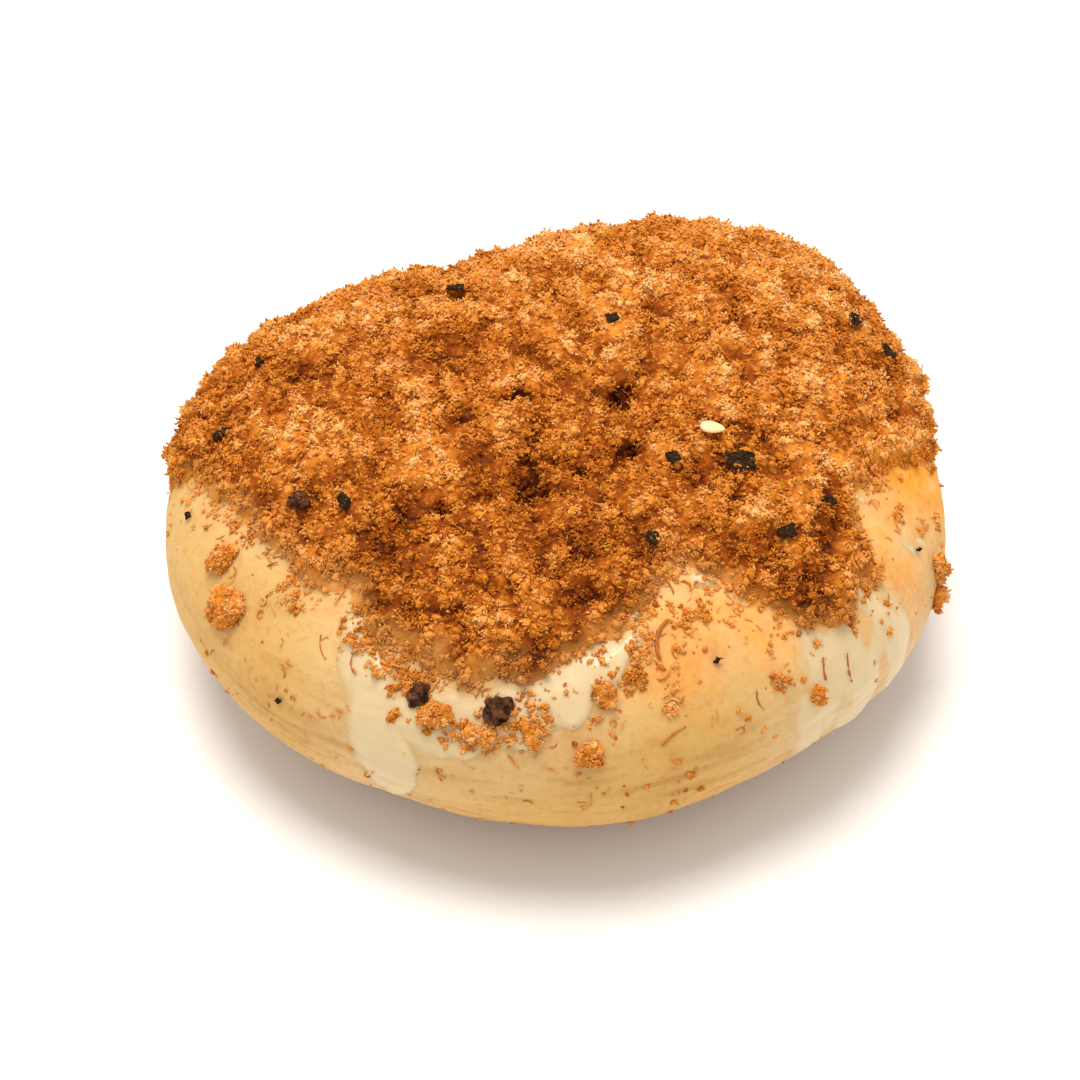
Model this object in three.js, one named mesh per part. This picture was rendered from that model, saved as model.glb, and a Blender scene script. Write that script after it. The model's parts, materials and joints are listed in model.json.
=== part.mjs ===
// A soft bagel whose hole has closed up, spread with cream and topped with meat floss, nori and sesame.
//
// Millimetres, +Z up. The bagel stands on the flat ring of its underside, with the middle of its box
// over the origin. Azimuths are in degrees, anticlockwise from +X seen from above, so the front is at
// 270. Latitudes are in degrees too: -90 is the middle of the underside, 0 the widest line and 90 the
// middle of the top.

import * as THREE from "three";

// Bread
const BREAD_HEIGHT = 42;
const BREAD_LENGTH = 112;
const BREAD_WIDTH = 97.2;
const BREAD_TURN = 25; // degrees from +X to the length
const WIDEST_SHARE = 0.45; // height of the widest line as a share of the bread's height
const SIDE_FULLNESS = 2.3; // exponent of the outline seen from the side: 2 is an ellipse
const CROWN_FULLNESS = 2.1;
const BASE_FLATTENING = 1.12; // over 1, so that the underside is cut off flat
// What makes the plan uneven: waves around, and the cosine and sine share of the radius.
const PLAN_WAVES = [
  [3, -0.044, 0.016],
  [4, -0.007, -0.027],
  [5, 0.01, -0.01],
];

// What is left of the hole: a slit on the top and a pucker under the base
const SLIT_CENTRE = [0.5, -10.5];
const SLIT_TURN = 50; // degrees from +X to its length
const SLIT_HALF_LENGTH = 17;
const SLIT_HALF_WIDTH = 7.5;
const SLIT_DEPTH = 2.6;
const PUCKER_RADIUS = 12;
const PUCKER_DEPTH = 4;

// Layers on the bread
const GAP = 0.35; // clearance between two pieces that touch
const CREAM_THICKNESS = 0.9;
const FLOSS_THICKNESS = 2.3;
const FLOSS_LUMP = 0.45;
const CREAM_UNDERSIDE = GAP;
const CREAM_TOP = CREAM_UNDERSIDE + CREAM_THICKNESS;
const FLOSS_UNDERSIDE = CREAM_TOP + GAP;

// The lower edge of each layer: azimuth and latitude, from one point to the next around the bagel
const FLOSS_EDGE = [
  [0, 28], [6, 12], [25, 6], [110, 2], [155, 4], [177, 10], [188, 31], [203, 38], [216, 40],
  [228, 41], [236, 36], [252, 34], [258, 36], [264, 31], [270, 37], [276, 44], [290, 50],
  [300, 52], [308, 42], [314, 29], [324, 27], [331, 24], [336, 37], [342, 42], [350, 38],
];
const CREAM_EDGE = [
  [0, 30], [8, 18], [30, 12], [150, 10], [177, 16], [190, 38], [216, 43], [226, 38], [233, 30],
  [240, 18], [246, -4], [252, 9], [264, 20], [272, 30], [280, 42], [290, 53], [300, 50],
  [304, 24], [308, -6], [316, -10], [324, -8], [331, 4], [336, 22], [342, 38], [352, 38],
];

// Mesh fineness
const BREAD_COLUMNS = 56;
const BREAD_ROWS = 34;
const LAYER_COLUMNS = 80;
const LAYER_ROWS = 28;

const CRUST = { color: 0xd8a969, roughness: 0.55, metalness: 0 };
const CREAM = { color: 0xe8cd9c, roughness: 0.3, metalness: 0 };
const FLOSS = { color: 0xc07a36, roughness: 0.9, metalness: 0 };
const CRISP = { color: 0x4a2410, roughness: 0.7, metalness: 0 };
const NORI = { color: 0x2a2016, roughness: 0.6, metalness: 0 };
const SESAME = { color: 0xf0d9a4, roughness: 0.45, metalness: 0 };

const bagel = new THREE.Group();
const radians = THREE.MathUtils.degToRad;

function addPiece(name, geometry, finish) {
  const piece = new THREE.Mesh(geometry, new THREE.MeshStandardMaterial(finish));
  piece.name = name;
  bagel.add(piece);
  return piece;
}

// ---- the surface that every layer follows ----

// Distance from the axis to the widest line.
function planRadius(azimuth) {
  const turned = azimuth - radians(BREAD_TURN);
  const long = BREAD_LENGTH / 2;
  const short = BREAD_WIDTH / 2;
  const ellipse = (long * short) / Math.hypot(short * Math.cos(turned), long * Math.sin(turned));
  let share = 1;
  for (const [waves, cosine, sine] of PLAN_WAVES) {
    share += cosine * Math.cos(waves * azimuth) + sine * Math.sin(waves * azimuth);
  }
  return ellipse * share;
}

// The bread without slit or pucker.
function plainPoint(azimuth, latitude) {
  const radius = planRadius(azimuth) * Math.abs(Math.cos(latitude)) ** (2 / SIDE_FULLNESS);
  const rise = Math.abs(Math.sin(latitude)) ** (2 / CROWN_FULLNESS);
  const widest = WIDEST_SHARE * BREAD_HEIGHT;
  const z =
    latitude > 0
      ? widest + (BREAD_HEIGHT - widest) * rise
      : Math.max(0, widest * (1 - BASE_FLATTENING * rise));
  return new THREE.Vector3(radius * Math.cos(azimuth), radius * Math.sin(azimuth), z);
}

function plainNormal(azimuth, latitude) {
  const step = 1e-3;
  const level = Math.min(latitude, Math.PI / 2 - 2 * step);
  const east = plainPoint(azimuth + step, level).sub(plainPoint(azimuth - step, level));
  const north = plainPoint(azimuth, level + step).sub(plainPoint(azimuth, level - step));
  return east.cross(north).normalize();
}

function slitDepth(x, y) {
  const turn = radians(SLIT_TURN);
  const [fromX, fromY] = [x - SLIT_CENTRE[0], y - SLIT_CENTRE[1]];
  const along = (fromX * Math.cos(turn) + fromY * Math.sin(turn)) / SLIT_HALF_LENGTH;
  const across = (fromY * Math.cos(turn) - fromX * Math.sin(turn)) / SLIT_HALF_WIDTH;
  return SLIT_DEPTH * Math.exp(-along * along - across * across);
}

// A point over the bread's skin. The slit sinks every layer by the same amount, so that none cross.
function layerPoint(azimuth, latitude, lift) {
  const point = plainPoint(azimuth, latitude);
  if (lift > 0) point.addScaledVector(plainNormal(azimuth, latitude), lift);
  if (latitude > 0) point.z -= slitDepth(point.x, point.y);
  return point;
}

// A closed skin from a sphere, whose every vertex moves to place(azimuth, row share). azimuths holds
// one for each of its columns, an even number of them.
function closedSkin(azimuths, rows, place) {
  const columns = azimuths.length;
  const geometry = new THREE.SphereGeometry(1, columns, rows).rotateX(Math.PI / 2);
  const vertices = geometry.getAttribute("position");
  for (let i = 0; i < vertices.count; i++) {
    const turns = Math.atan2(vertices.getY(i), vertices.getX(i)) / (2 * Math.PI);
    const column = Math.round(THREE.MathUtils.euclideanModulo(turns, 1) * columns) % columns;
    const polar = Math.acos(THREE.MathUtils.clamp(vertices.getZ(i), -1, 1));
    const point = place(azimuths[column], Math.round((polar / Math.PI) * rows) / rows);
    vertices.setXYZ(i, point.x, point.y, point.z);
  }
  geometry.computeVertexNormals();
  return geometry;
}

// ---- bread ----

function puckerDepth(radius) {
  const share = Math.min(1, radius / PUCKER_RADIUS);
  return PUCKER_DEPTH * (1 - share * share) ** 2;
}

function breadPoint(azimuth, share) {
  // Rows close up at the slit, at the widest line and at the pucker.
  const latitude = Math.PI / 2 - Math.PI * (share - 0.03 * Math.sin(4 * Math.PI * share));
  const point = layerPoint(azimuth, latitude, 0);
  if (latitude < 0) point.z += puckerDepth(Math.hypot(point.x, point.y));
  return point;
}

const evenColumns = Array.from(
  { length: BREAD_COLUMNS },
  (_, column) => (2 * Math.PI * column) / BREAD_COLUMNS,
);
addPiece("bagel_bread", closedSkin(evenColumns, BREAD_ROWS, breadPoint), CRUST);

// ---- cream and floss ----

// Latitude of a layer's lower edge, eased from each point of its table to the next.
function edgeLatitude(edge, azimuth) {
  const degrees = THREE.MathUtils.euclideanModulo(THREE.MathUtils.radToDeg(azimuth), 360);
  const next = edge.findIndex(([at]) => at > degrees);
  const [fromAt, from] = next < 0 ? edge.at(-1) : edge[next - 1];
  const [toAt, to] = next < 0 ? [360, edge[0][1]] : edge[next];
  const share = THREE.MathUtils.smoothstep(degrees, fromAt, toAt);
  return radians(THREE.MathUtils.lerp(from, to, share));
}

// Low swells in the floss, about 20 mm from one to the next.
function flossLump(azimuth, latitude) {
  const { x, y } = plainPoint(azimuth, latitude);
  return FLOSS_LUMP * Math.sin(0.31 * x + 0.1 * y + 1) * Math.sin(0.27 * y - 0.14 * x);
}

// Azimuths evenly spaced along an edge, so that its steep stretches get columns enough.
function columnsAlong(edge) {
  const edgePoint = (degrees) =>
    layerPoint(radians(degrees), edgeLatitude(edge, radians(degrees)), 0);
  const lengths = [0];
  for (let degrees = 1; degrees <= 360; degrees++) {
    const step = edgePoint(degrees).distanceTo(edgePoint(degrees - 1));
    lengths.push(lengths.at(-1) + step);
  }
  return Array.from({ length: LAYER_COLUMNS }, (_, column) => {
    const wanted = (column / LAYER_COLUMNS) * lengths.at(-1);
    const next = lengths.findIndex((length) => length > wanted);
    const share = (wanted - lengths[next - 1]) / (lengths[next] - lengths[next - 1]);
    return radians(next - 1 + share);
  });
}

// A layer's closed skin. Its rows run from the middle of the top out to its edge, then back along
// its underside.
function layerSkin(edge, underside, thicknessAt) {
  const place = (azimuth, share) => {
    const fromMiddle = 1 - Math.abs(1 - 2 * share);
    const out = fromMiddle - 0.03 * Math.sin(2 * Math.PI * fromMiddle); // closer at both ends
    const latitude = THREE.MathUtils.lerp(Math.PI / 2, edgeLatitude(edge, azimuth), out);
    const rounding = Math.sqrt(Math.max(0, 1 - out ** 12)); // the edge thins down to nothing
    const thickness = share < 0.5 ? thicknessAt(azimuth, latitude) * rounding : 0;
    return layerPoint(azimuth, latitude, underside + thickness);
  };
  return closedSkin(columnsAlong(edge), LAYER_ROWS, place);
}

const creamThickness = () => CREAM_THICKNESS;
const flossThickness = (azimuth, latitude) => FLOSS_THICKNESS + flossLump(azimuth, latitude);

addPiece("cream_spread", layerSkin(CREAM_EDGE, CREAM_UNDERSIDE, creamThickness), CREAM);
addPiece("floss_topping", layerSkin(FLOSS_EDGE, FLOSS_UNDERSIDE, flossThickness), FLOSS);

// ---- loose pieces, each lying flat on the layer under it ----

const onBread = () => GAP;
const onCream = () => CREAM_TOP + GAP;
const onFloss = (azimuth, latitude) =>
  FLOSS_UNDERSIDE + flossThickness(azimuth, latitude) + GAP;

// Moves geometry from its own frame, with Z away from the bagel and X along the level, onto a layer.
// at is [azimuth, latitude, turn] in degrees, and half the piece's thickness keeps it clear.
function layOn(geometry, layer, at, halfThickness) {
  const [azimuth, latitude, turn] = at.map(radians);
  const lift = layer(azimuth, latitude) + halfThickness;
  const centre = layerPoint(azimuth, latitude, lift);
  const step = 0.01;
  const east = layerPoint(azimuth + step, latitude, lift).sub(centre).normalize();
  const north = layerPoint(azimuth, latitude + step, lift).sub(centre).normalize();
  const out = east.clone().cross(north).normalize();
  const axes = new THREE.Matrix4().makeBasis(east, out.clone().cross(east), out);
  return geometry.rotateZ(turn).applyMatrix4(axes.setPosition(centre));
}

// A lump of matted floss: a low sphere with uneven sides.
function clumpShape(length, width, height) {
  const geometry = new THREE.SphereGeometry(0.5, 10, 6);
  const vertices = geometry.getAttribute("position");
  for (let i = 0; i < vertices.count; i++) {
    const [x, y, z] = [vertices.getX(i), vertices.getY(i), vertices.getZ(i)];
    const uneven = 1 + 0.12 * Math.sin(9 * x + 4 * z) * Math.cos(7 * z - 3 * y);
    vertices.setXYZ(i, x * uneven * length, z * uneven * width, -y * height);
  }
  return geometry;
}

// [name, layer, [azimuth, latitude, turn], length, width, height]
const CLUMPS = [
  ["clump_left_large", onBread, [210, 23, 0], 6.8, 6, 2.2],
  ["clump_left_upper", onBread, [203, 30, 80], 5, 3, 1.5],
  ["clump_front_1", onCream, [243, 22, 60], 2.6, 1.8, 1.2],
  ["clump_front_2", onCream, [250, 25, 10], 5, 3, 1.8],
  ["clump_front_3", onCream, [257, 22, 0], 4.4, 2.6, 1.6],
  ["clump_front_4", onCream, [264, 24, 110], 3.8, 1.8, 1.2],
  ["clump_front_5", onBread, [273, 18, 20], 4, 3, 1.6],
  ["clump_front_6", onBread, [276, 32, 100], 3.6, 2.4, 1.5],
  ["clump_right_1", onCream, [310, 14, 80], 3, 1.8, 1.2],
  ["clump_right_2", onBread, [345, 8, 90], 4.4, 3, 2],
  ["clump_right_3", onBread, [343, -1, 70], 4.2, 2.6, 1.8],
];
for (const [name, layer, at, length, width, height] of CLUMPS) {
  addPiece(name, layOn(clumpShape(length, width, height), layer, at, height / 2), FLOSS);
}

// A crisp fried chunk with flat broken faces.
const CHUNKS = [
  ["crisp_chunk_1", onCream, [259, 29, 20], 4, 3.6, 2.8],
  ["crisp_chunk_2", onCream, [246, 29, 70], 3.6, 2.6, 2],
  ["crisp_chunk_3", onFloss, [206, 50, 30], 3, 2.4, 1.6],
];
for (const [name, layer, at, length, width, height] of CHUNKS) {
  const shape = new THREE.DodecahedronGeometry(0.5).scale(length, width, height);
  addPiece(name, layOn(shape, layer, at, height / 2), CRISP);
}

// A flake torn from a sheet of nori: a thin uneven plate.
const NORI_THICKNESS = 0.25;
const FLAKE_CORNERS = [
  [-0.5, -0.36], [0.1, -0.5], [0.5, -0.28], [0.44, 0.4], [0.05, 0.5], [-0.46, 0.36],
];
const FLAKES = [
  [[331, 64, 120], 3.8, 3],
  [[321, 50, 150], 2.6, 1.6],
  [[291, 60, 40], 2.2, 1.8],
  [[314, 71, 80], 2, 1.5],
  [[28, 38, 20], 2.3, 1.8],
  [[22, 31, 70], 2.3, 1.6],
  [[126, 60, 150], 2.2, 1.4],
  [[63, 79, 30], 2.1, 1.6],
  [[212, 55, 0], 2.2, 1.8],
  [[165, 41, 50], 2, 1.3],
  [[335, 48, 60], 1.5, 1.4],
  [[180, 38, 120], 2.2, 1.5],
];
FLAKES.forEach(([at, length, width], index) => {
  const outline = FLAKE_CORNERS.map(([x, y]) => new THREE.Vector2(x * length, y * width));
  const shape = new THREE.ExtrudeGeometry(new THREE.Shape(outline), {
    depth: NORI_THICKNESS,
    bevelEnabled: false,
  }).translate(0, 0, -NORI_THICKNESS / 2);
  const clear = NORI_THICKNESS / 2 + 0.15; // a flat plate on a curved layer
  addPiece("nori_flake_" + (index + 1), layOn(shape, onFloss, at, clear), NORI);
});

// A black crumb of nori on the crust.
const SPECKS = [
  [onBread, [296, 34, 0]],
  [onBread, [191, 24, 40]],
  [onBread, [225, 10, 20]],
  [onBread, [342, 22, 0]],
];
SPECKS.forEach(([layer, at], index) => {
  const size = 1.3;
  const shape = new THREE.OctahedronGeometry(size / 2).scale(1, 0.8, 0.7);
  addPiece("nori_speck_" + (index + 1), layOn(shape, layer, at, 0.35 * size), NORI);
});

// A sesame seed: an egg with one end drawn out, lying flat.
const SEED_LENGTH = 3.3;
const SEED_WIDTH = 2;
const SEED_THICKNESS = 1;

function seedShape() {
  const geometry = new THREE.SphereGeometry(0.5, 14, 10).rotateZ(Math.PI / 2);
  const vertices = geometry.getAttribute("position");
  for (let i = 0; i < vertices.count; i++) {
    const x = vertices.getX(i);
    const taper = 1 - 0.5 * x;
    vertices.setXYZ(
      i,
      x * SEED_LENGTH,
      vertices.getY(i) * taper * SEED_WIDTH,
      vertices.getZ(i) * taper * SEED_THICKNESS,
    );
  }
  return geometry;
}
const seedClear = 0.65 * SEED_THICKNESS; // its fat end is thicker than its middle
addPiece("sesame_seed", layOn(seedShape(), onFloss, [337, 70, -68], seedClear), SESAME);

// A single strand of floss, bent like an arc: its length, and the degrees that it turns through.
const STRAND_SIDES = 6;
const STRAND_STEPS = 7;

function strandShape(length, bend, diameter) {
  const angle = Math.max(0.05, radians(bend));
  const radius = length / angle;
  const points = [-0.5, -0.25, 0, 0.25, 0.5].map(
    (share) =>
      new THREE.Vector3(
        radius * Math.sin(share * angle),
        radius * (Math.cos(share * angle) - Math.cos(angle / 2)),
        0,
      ),
  );
  const section = new THREE.Shape();
  for (let side = 0; side < STRAND_SIDES; side++) {
    const turn = (2 * Math.PI * side) / STRAND_SIDES;
    const corner = [(diameter / 2) * Math.cos(turn), (diameter / 2) * Math.sin(turn)];
    if (side === 0) section.moveTo(...corner);
    else section.lineTo(...corner);
  }
  section.closePath();
  return new THREE.ExtrudeGeometry(section, {
    steps: STRAND_STEPS,
    extrudePath: new THREE.CatmullRomCurve3(points),
  });
}

// [layer, [azimuth, latitude, turn], length, bend, diameter]
const STRANDS = [
  [onCream, [235, 31, 100], 4.6, 150, 0.5],
  [onBread, [228, 30, 130], 3.6, 60, 0.5],
  [onBread, [288, 42, 60], 6, 80, 0.9],
  [onBread, [286, 19, 25], 4, 30, 0.6],
  [onCream, [317, 15, 80], 4.4, 20, 0.5],
  [onCream, [313, 19, 75], 3.2, 25, 0.5],
  [onBread, [301, 20, 95], 3, 70, 0.5],
  [onBread, [215, 32, 100], 2.6, 120, 0.45],
];
STRANDS.forEach(([layer, at, length, bend, diameter], index) => {
  const shape = strandShape(length, bend, diameter);
  const clear = diameter / 2 + 0.15;
  addPiece("floss_strand_" + (index + 1), layOn(shape, layer, at, clear), FLOSS);
});

// ---- the middle of the box goes over the origin ----

const middle = new THREE.Box3().setFromObject(bagel, true).getCenter(new THREE.Vector3());
bagel.position.set(-middle.x, -middle.y, 0);

export default bagel;
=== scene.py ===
"""The finish of a soft bagel that is spread with cream and topped with meat floss, nori and sesame.

Every piece is made in millimetres over the bread's own skin, and its mesh is stored in metres. Azimuths
run anticlockwise from +X seen from above, so the front is at 270 degrees. Latitudes run from -90 degrees
at the middle of the underside, through 0 at the widest line, to 90 degrees at the middle of the top.
"""

import json
import math

import bmesh
import bpy
import numpy as np
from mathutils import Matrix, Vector, noise
from mathutils.bvhtree import BVHTree

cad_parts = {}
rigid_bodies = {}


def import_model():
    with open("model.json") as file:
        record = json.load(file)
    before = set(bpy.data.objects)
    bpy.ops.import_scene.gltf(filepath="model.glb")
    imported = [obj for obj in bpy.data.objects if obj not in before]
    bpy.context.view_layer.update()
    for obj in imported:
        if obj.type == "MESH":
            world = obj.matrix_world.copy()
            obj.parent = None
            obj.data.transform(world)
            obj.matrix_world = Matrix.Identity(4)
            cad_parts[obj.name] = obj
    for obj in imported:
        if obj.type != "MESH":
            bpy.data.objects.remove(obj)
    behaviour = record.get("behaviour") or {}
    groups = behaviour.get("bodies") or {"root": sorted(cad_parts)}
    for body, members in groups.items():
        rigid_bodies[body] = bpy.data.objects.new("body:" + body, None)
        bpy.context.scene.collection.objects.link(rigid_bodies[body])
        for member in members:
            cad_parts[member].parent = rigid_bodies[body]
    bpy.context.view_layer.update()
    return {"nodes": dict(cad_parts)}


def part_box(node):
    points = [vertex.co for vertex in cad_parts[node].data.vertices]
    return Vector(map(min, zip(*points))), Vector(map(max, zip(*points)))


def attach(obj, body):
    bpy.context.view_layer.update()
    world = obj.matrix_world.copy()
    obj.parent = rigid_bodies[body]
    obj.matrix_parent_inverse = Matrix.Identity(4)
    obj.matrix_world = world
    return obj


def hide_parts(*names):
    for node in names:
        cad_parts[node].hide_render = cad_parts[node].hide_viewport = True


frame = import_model()

bl_info = {
    "name": "Floss Bagel",
    "version": (1, 0, 0),
    "blender": (4, 5, 0),
    "location": "3D View > Sidebar > Bagel",
    "description": "Bakes, spreads and tops a bagel round its packed model",
    "category": "Object",
}

MM = 0.001
BODY = "root"
POLE = math.pi / 2

# The bread's solid, in millimetres
BREAD_HEIGHT = 42.0
BREAD_LENGTH = 112.0
BREAD_WIDTH = 97.2
BREAD_TURN = math.radians(25)
WIDEST_HEIGHT = 0.45 * BREAD_HEIGHT
SIDE_FULLNESS = 2.3
CROWN_FULLNESS = 2.1
BASE_FLATTENING = 1.12
PLAN_WAVES = ((3, -0.044, 0.016), (4, -0.007, -0.027), (5, 0.01, -0.01))
SLIT_CENTRE = (0.5, -10.5)
SLIT_TURN = math.radians(50)
SLIT_HALF_LENGTH = 17.0
SLIT_HALF_WIDTH = 7.5
SLIT_DEPTH = 2.6
PUCKER_RADIUS = 12.0
PUCKER_DEPTH = 4.0

# The lower edge of the thick floss: azimuth and latitude in degrees
FLOSS_EDGE = (
    (0, 28), (6, 12), (25, 6), (110, 2), (155, 4), (177, 10), (188, 31), (203, 38), (216, 40),
    (228, 41), (236, 36), (252, 34), (258, 36), (264, 31), (270, 37), (276, 44), (290, 50),
    (300, 52), (308, 42), (314, 29), (324, 27), (331, 24), (336, 37), (342, 42), (350, 38),
)

# Strokes of cream, each a run of (azimuth, latitude, half width in millimetres)
CREAM_STROKES = (
    ((230, 37, 2.6), (235, 29, 3.4), (240, 19, 4.6), (242, 8, 4.8), (243, -2, 3.6), (243, -9, 2.0)),
    ((242, 19, 4.4), (250, 22, 5.2), (259, 26, 4.8), (267, 32, 4.4), (274, 38, 3.6), (280, 43, 2.6)),
    ((313, 31, 2.4), (311, 19, 3.6), (309, 7, 4.4), (309, -4, 4.0), (308, -12, 2.4)),
    ((318, 32, 4.0), (318, 19, 5.6), (318, 5, 6.0), (318, -6, 5.0), (318, -15, 2.6)),
    ((325, 31, 3.6), (327, 19, 4.6), (328, 7, 4.6), (328, -4, 3.6), (327, -12, 2.2)),
    ((283, 48, 0.9), (284, 49, 0.9)),
    ((292, 55, 1.5), (294, 55, 1.2)),
    ((300, 51, 1.5), (302, 50, 1.3)),
    ((297, 38, 0.9), (297, 36, 0.7)),
    ((342, 45, 1.2), (342.5, 41, 1.2)),
    ((340.5, 27, 0.8), (341, 23, 0.8)),
    ((344, 22, 0.9), (344.5, 19, 0.7)),
)

# Heaps of crumbs on the crust and the cream, each (azimuth, latitude, radius in millimetres)
CRUMB_HEAPS = (
    (203, 36, 1.2), (215, 35, 1.0), (287, 31, 1.5), (288, 5, 1.2), (275, 5, 1.0), (261, 19, 0.9),
    (305, 22, 1.2), (283, 42, 2.4), (293, 44, 1.6), (280, 33, 0.9), (219, 34, 1.4), (240, 32, 1.2),
    (214, -6, 0.9), (211, -3, 0.8), (347, 22, 1.2), (352, 16, 1.4), (2, 20, 1.2), (345, 31, 1.0),
    (234, 36, 2.4), (239, 33, 2.6), (243, 30, 2.6), (246, 30, 2.2), (249, 24, 2.0), (252, 22, 2.0),
    (255, 21, 2.0), (258, 21, 2.2), (262, 23, 2.4), (265, 26, 2.2), (259, 28, 2.6), (263, 29, 2.4),
    (248, 35, 2.4), (282, 36, 1.6), (287, 28, 1.2), (297, 44, 1.4),
)

# Hollows in the floss, sunk and darkened with painted shade, each (azimuth, latitude, radius in millimetres)
HOLLOWS = ((252, 74, 2.8), (359, 84, 2.2), (197, 85, 1.8), (309, 78, 2.0), (275, 78, 1.6), (231, 64, 1.5))


def tone(red, green, blue):
    """A colour from its sRGB bytes, as the linear numbers that Blender keeps."""
    shares = [byte / 255 for byte in (red, green, blue)]
    return tuple(s / 12.92 if s <= 0.04045 else ((s + 0.055) / 1.055) ** 2.4 for s in shares) + (1.0,)


def smooth_step(low, high, values):
    """0 below low and 1 above high, eased between them."""
    share = np.clip((values - low) / (high - low), 0, 1)
    return share * share * (3 - 2 * share)


def between(rise, fall, degrees):
    """1 between two azimuths and 0 outside them, eased over the pair that each is given as."""
    return smooth_step(*rise, degrees) * (1 - smooth_step(*fall, degrees))


# ---- the bread's skin ----


def plan_radius(azimuth):
    """Millimetres from the axis to the widest line."""
    turned = azimuth - BREAD_TURN
    long, short = BREAD_LENGTH / 2, BREAD_WIDTH / 2
    ellipse = long * short / np.hypot(short * np.cos(turned), long * np.sin(turned))
    share = 1.0
    for waves, cosine, sine in PLAN_WAVES:
        share = share + cosine * np.cos(waves * azimuth) + sine * np.sin(waves * azimuth)
    return ellipse * share


def plain_point(azimuth, latitude):
    """Points of the bread without its slit and pucker."""
    radius = plan_radius(azimuth) * np.abs(np.cos(latitude)) ** (2 / SIDE_FULLNESS)
    rise = np.abs(np.sin(latitude)) ** (2 / CROWN_FULLNESS)
    above = WIDEST_HEIGHT + (BREAD_HEIGHT - WIDEST_HEIGHT) * rise
    below = np.maximum(0, WIDEST_HEIGHT * (1 - BASE_FLATTENING * rise))
    height = np.where(latitude > 0, above, below)
    return np.stack([radius * np.cos(azimuth), radius * np.sin(azimuth), height], -1)


def plain_normal(azimuth, latitude):
    """The way out of the bread, taken a little off the poles, where no way is east."""
    step = 1e-3
    level = np.clip(latitude, 2 * step - POLE, POLE - 2 * step)
    east = plain_point(azimuth + step, level) - plain_point(azimuth - step, level)
    north = plain_point(azimuth, level + step) - plain_point(azimuth, level - step)
    normal = np.cross(east, north)
    return normal / np.linalg.norm(normal, axis=-1, keepdims=True)


def slit_depth(point):
    """Millimetres that the slit sinks the top by."""
    from_x, from_y = point[..., 0] - SLIT_CENTRE[0], point[..., 1] - SLIT_CENTRE[1]
    along = (from_x * math.cos(SLIT_TURN) + from_y * math.sin(SLIT_TURN)) / SLIT_HALF_LENGTH
    across = (from_y * math.cos(SLIT_TURN) - from_x * math.sin(SLIT_TURN)) / SLIT_HALF_WIDTH
    return SLIT_DEPTH * np.exp(-along * along - across * across)


def plan_shift():
    """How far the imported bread's middle lies from the middle of the same outline drawn round its axis."""
    ring = plain_point(np.linspace(0, 2 * math.pi, 720), np.zeros(720))
    low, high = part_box("bagel_bread")
    middle = np.array((low + high) / 2)[:2] / MM
    return middle - (ring.min(0) + ring.max(0))[:2] / 2


SHIFT = plan_shift()  # millimetres along X and Y


def over_skin(azimuth, latitude, lift=0.0):
    """Points at a height over the bread's skin. The slit sinks every layer by the same amount."""
    azimuth, latitude, lift = np.broadcast_arrays(azimuth, latitude, lift)
    point = plain_point(azimuth, latitude) + plain_normal(azimuth, latitude) * lift[..., None]
    point[..., 2] -= np.where(latitude > 0, slit_depth(point), 0)
    point[..., :2] += SHIFT
    return point


FRONT = math.radians(270)
DEGREE_LATITUDES = np.radians(np.arange(-90, 91))
FRONT_OUTLINE = plain_point(np.full(len(DEGREE_LATITUDES), FRONT), DEGREE_LATITUDES)
OUTLINE_STEPS = np.linalg.norm(np.diff(FRONT_OUTLINE, axis=0), axis=1)
OUTLINE = np.concatenate([[0], np.cumsum(OUTLINE_STEPS)])


def outline_length(latitude):
    """Millimetres along the bread's outline, up from the middle of the underside."""
    return np.interp(latitude, DEGREE_LATITUDES, OUTLINE)


def even_latitudes(count, low, high):
    """Latitudes in radians that are evenly spaced along the outline, for two latitudes in degrees."""
    ends = outline_length(np.radians([low, high]))
    return np.interp(np.linspace(ends[0], ends[1], count), OUTLINE, DEGREE_LATITUDES)


def all_round(count):
    """Azimuths in radians, evenly spaced round the bread."""
    return np.arange(count) * (2 * math.pi / count)


def eased(table, azimuth):
    """Values of a table of (azimuth, value) in degrees, eased from each to the next all the way round."""
    at = np.array([a for a, _ in table] + [table[0][0] + 360])
    values = np.array([v for _, v in table] + [table[0][1]])
    degrees = np.degrees(azimuth) % 360
    before = np.searchsorted(at, degrees, side="right") - 1
    share = smooth_step(at[before], at[before + 1], degrees)
    return values[before] + (values[before + 1] - values[before]) * share


# ---- unevenness ----


def swell(points, size, seed, octaves=1):
    """Smooth noise from about -1 to 1, size millimetres from one swell to the next."""
    start = np.array([17.3, -5.1, 9.7]) * seed
    scaled = (points.reshape(-1, 3) / size + start).tolist()
    values = [noise.fractal(p, 1.0, 2.0, octaves) for p in scaled]
    return np.array(values).reshape(points.shape[:-1])


def lumps(points, size, seed):
    """Rounded lumps, from 0 in the cracks between them to 1 on top, size millimetres across."""
    start = np.array([-3.7, 11.9, 6.1]) * seed
    scaled = (points.reshape(-1, 3) / size + start).tolist()
    nearest = np.array([noise.voronoi(p)[0][0] for p in scaled])
    return np.clip(1 - (nearest / 0.8) ** 2, 0, 1).reshape(points.shape[:-1])


# ---- meshes ----


def add_mesh(name, points, faces, **attributes):
    """A smooth mesh object from points in millimetres, with numbers kept at its vertices."""
    mesh = bpy.data.meshes.new(name)
    mesh.from_pydata((points * MM).tolist(), [], faces)
    for key, values in attributes.items():
        layer = mesh.attributes.new(key, "FLOAT", "POINT")
        layer.data.foreach_set("value", np.asarray(values, np.float32).ravel())
    mesh.shade_smooth()
    piece = bpy.data.objects.new(name, mesh)
    bpy.context.scene.collection.objects.link(piece)
    return piece


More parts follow.
